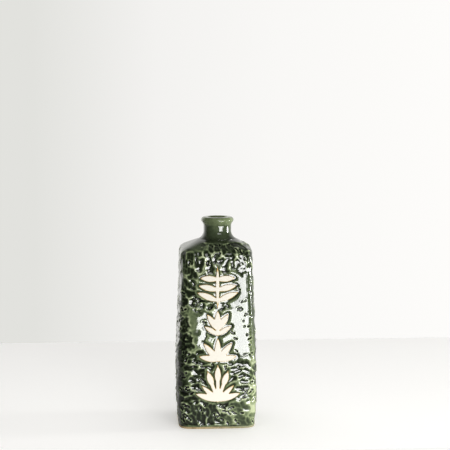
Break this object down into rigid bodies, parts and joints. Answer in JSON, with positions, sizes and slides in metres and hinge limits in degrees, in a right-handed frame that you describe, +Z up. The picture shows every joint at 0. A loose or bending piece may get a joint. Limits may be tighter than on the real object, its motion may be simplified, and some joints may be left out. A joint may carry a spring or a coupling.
{
  "type": "square bottle vase",
  "caption": "Square glazed stoneware bottle vase with rounded corners, a sloping shoulder, a round neck with a rolled lip and leaf relief on the front.",
  "frame": {"origin": "on the surface that the vase stands on, under the middle of its square body", "axes": "+Z up, -Y the front with the relief, +X to the right of someone who faces the front"},
  "size_m": [0.0908, 0.0921, 0.2364],
  "materials": {
    "green_glaze": "glossy, carved, thin and pale on the ridges",
    "neck_glaze": "glossy, smooth",
    "bare_clay": "unglazed, matt",
    "cream_slip": "thin satin slip with ochre edges"
  },
  "bodies": {
    "root": {"front_shell": "green_glaze", "back_shell": "green_glaze", "base_slab": "bare_clay", "neck_collar": "neck_glaze", "sprig_bamboo": "cream_slip", "sprig_bud": "cream_slip", "sprig_orchid": "cream_slip", "sprig_reed": "cream_slip"}
  },
  "joints": []
}
